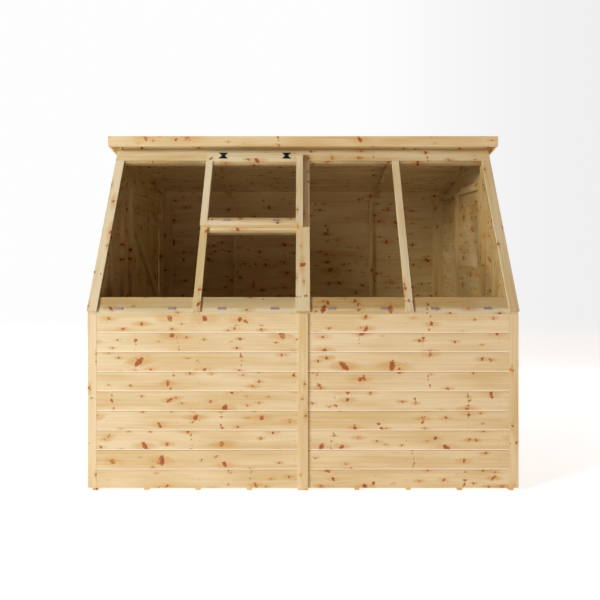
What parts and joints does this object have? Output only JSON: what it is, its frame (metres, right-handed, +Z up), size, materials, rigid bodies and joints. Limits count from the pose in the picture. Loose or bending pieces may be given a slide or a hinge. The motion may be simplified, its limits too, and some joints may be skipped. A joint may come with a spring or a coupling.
{
  "type": "potting shed",
  "caption": "Softwood potting shed with a leaning glazed front over boarded walls, an opening vent, a felted roof that falls to the back and a ledged side door.",
  "frame": {"origin": "on the ground under the middle of the whole shed, roof included", "axes": "+X to the right seen from the glazed front, +Y to the back, +Z up"},
  "size_m": [2.518, 1.808, 2.0837],
  "materials": {
    "cladding": "satin",
    "trim_timber": "satin",
    "frame_timber": "satin",
    "floor_timber": "satin",
    "felt": "matte",
    "glass": "gloss",
    "black_metal": "satin",
    "clip_metal": "satin"
  },
  "bodies": {
    "shed": {"back_corner_strips": "trim_timber", "back_fascia": "trim_timber", "back_frame": "frame_timber", "back_joint_strip": "trim_timber", "back_wall": "cladding", "bargeboards": "trim_timber", "door_hinge_plates": "black_metal", "door_sill_board": "trim_timber", "door_stops": "trim_timber", "eaves_purlin": "frame_timber", "floor_bearers": "frame_timber", "floor_boards": "floor_timber", "front_corner_strips": "trim_timber", "front_fascia": "trim_timber", "front_frame": "frame_timber", "front_joint_strip": "trim_timber", "front_wall": "cladding", "glazing_battens": "trim_timber", "glazing_clips": "clip_metal", "left_door_frame": "frame_timber", "left_frame_front": "frame_timber", "left_wall_beside_door": "cladding", "left_wall_front": "cladding", "left_wall_over_door": "cladding", "right_frame": "frame_timber", "right_wall": "cladding", "roof_boards": "floor_timber", "roof_felt": "felt", "roof_header": "frame_timber", "roof_rafters": "frame_timber", "side_cover_strips": "trim_timber", "side_trims": "trim_timber", "top_cover_board": "trim_timber", "vent_frame": "frame_timber", "vent_glass": "glass", "vent_hinge_strip": "frame_timber", "vent_hinges": "black_metal", "vent_sill_batten": "trim_timber", "window_frame": "frame_timber", "window_glass": "glass"},
    "door": {"door_boards": "cladding", "door_braces": "frame_timber", "door_handle": "black_metal", "door_ledges": "frame_timber", "door_strap_hinges": "black_metal"}
  },
  "joints": [
    {"name": "door_hinge", "type": "hinge", "parent": "shed", "child": "door", "pos_m": [-1.204, 0.63, 0.9], "axis": [0, 0, -1], "range_deg": [0, 160]}
  ]
}
